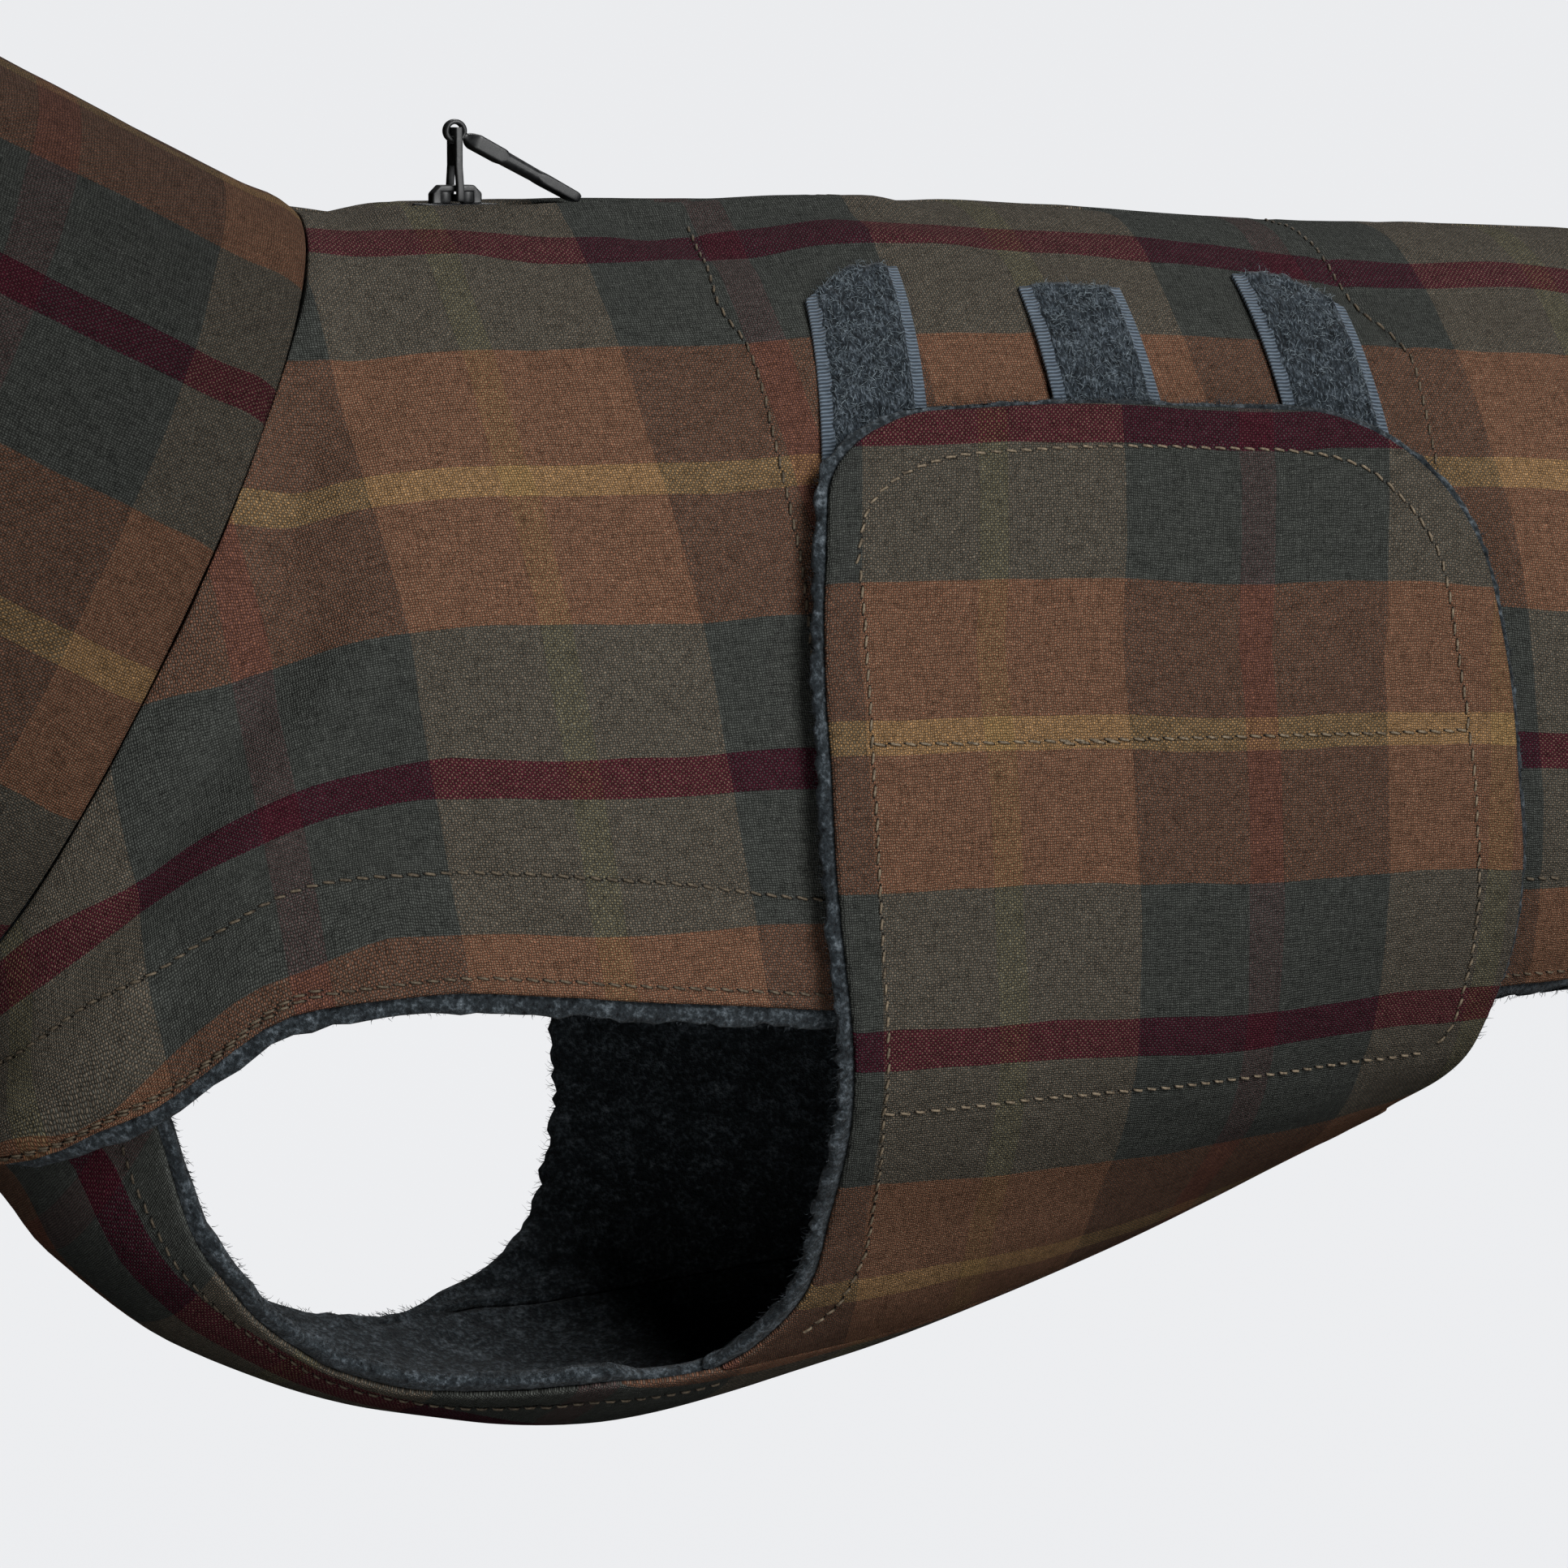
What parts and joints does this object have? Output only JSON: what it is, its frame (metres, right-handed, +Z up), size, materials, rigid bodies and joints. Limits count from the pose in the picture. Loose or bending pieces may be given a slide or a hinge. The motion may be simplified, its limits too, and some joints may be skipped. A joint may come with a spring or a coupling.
{
  "type": "dog winter coat",
  "caption": "Fleece-lined checked dog coat, filled out as worn: high collar, back panel with a short zip, chest strip, leg openings and belly wings on loop tapes.",
  "frame": {"origin": "inside of the back lining on the centre line, 135 mm behind the neck seam, where the wearer's back carries the coat", "axes": "+X from the head to the tail, -Y to the coat's left side, +Z up"},
  "size_m": [0.6626, 0.1704, 0.2928],
  "materials": {
    "plaid": "woven check in muted green, rust, maroon and gold",
    "fleece": "dark blue-grey pile fleece",
    "loop_tape": "grey-blue brushed loop tape",
    "zip_plastic": "black moulded plastic"
  },
  "bodies": {
    "coat": {"back_left": "plaid", "back_right": "plaid", "chest_strip": "plaid", "wing_left": "plaid", "wing_right": "plaid", "collar": "plaid", "back_lining_left": "fleece", "back_lining_right": "fleece", "chest_strip_lining": "fleece", "wing_lining_left": "fleece", "wing_lining_right": "fleece", "collar_lining": "fleece", "loop_strip_left_1": "loop_tape", "loop_strip_left_2": "loop_tape", "loop_strip_left_3": "loop_tape", "loop_strip_right_1": "loop_tape", "loop_strip_right_2": "loop_tape", "loop_strip_right_3": "loop_tape", "zip_chain": "zip_plastic", "zip_slider": "zip_plastic"},
    "pull_link": {"pull_link": "zip_plastic"},
    "pull_tab": {"pull_tab": "zip_plastic"}
  },
  "joints": [
    {"name": "link_swing", "type": "hinge", "parent": "coat", "child": "pull_link", "pos_m": [-0.1, 0, 0.00605], "axis": [0, -1, 0], "range_deg": [0, 75]},
    {"name": "tab_swing", "type": "hinge", "parent": "pull_link", "child": "pull_tab", "pos_m": [-0.1, 0, 0.01885], "axis": [0, -1, 0], "range_deg": [0, 115]}
  ]
}
